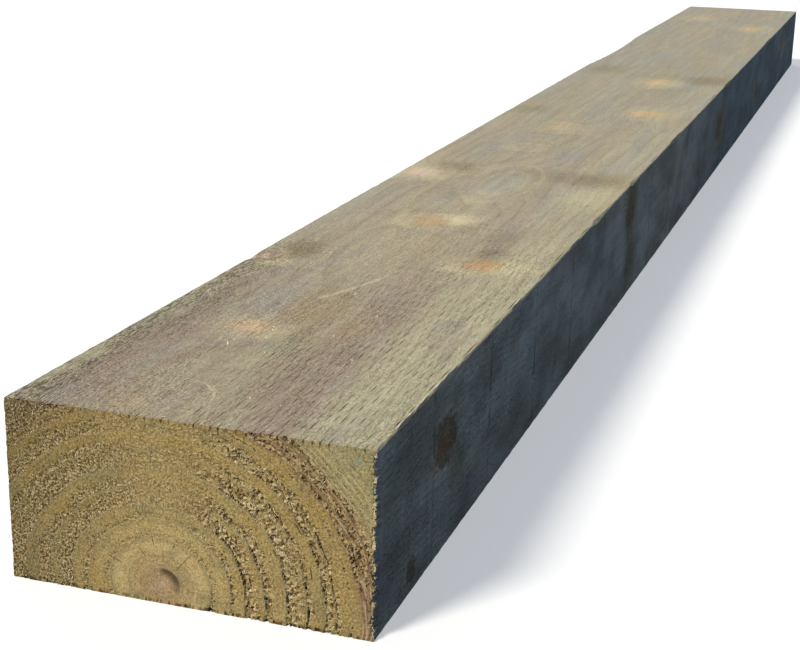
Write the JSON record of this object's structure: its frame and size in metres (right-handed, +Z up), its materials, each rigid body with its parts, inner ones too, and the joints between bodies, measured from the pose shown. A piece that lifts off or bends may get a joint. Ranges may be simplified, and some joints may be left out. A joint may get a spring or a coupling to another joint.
{
  "type": "railway sleeper",
  "caption": "Sawn softwood railway sleeper of rectangular section, incised on its long faces and lying on its wide face, for edging and retaining.",
  "frame": {"origin": "middle of the bed face, halfway along and halfway across the sleeper", "axes": "+X along the length away from the pictured end, +Y across the width, +Z up out of the top face"},
  "size_m": [2.4, 0.2, 0.1],
  "materials": {
    "treated_softwood": "rough sawn, pressure treated, greenish brown"
  },
  "bodies": {
    "root": {"sleeper": "treated_softwood"}
  },
  "joints": []
}
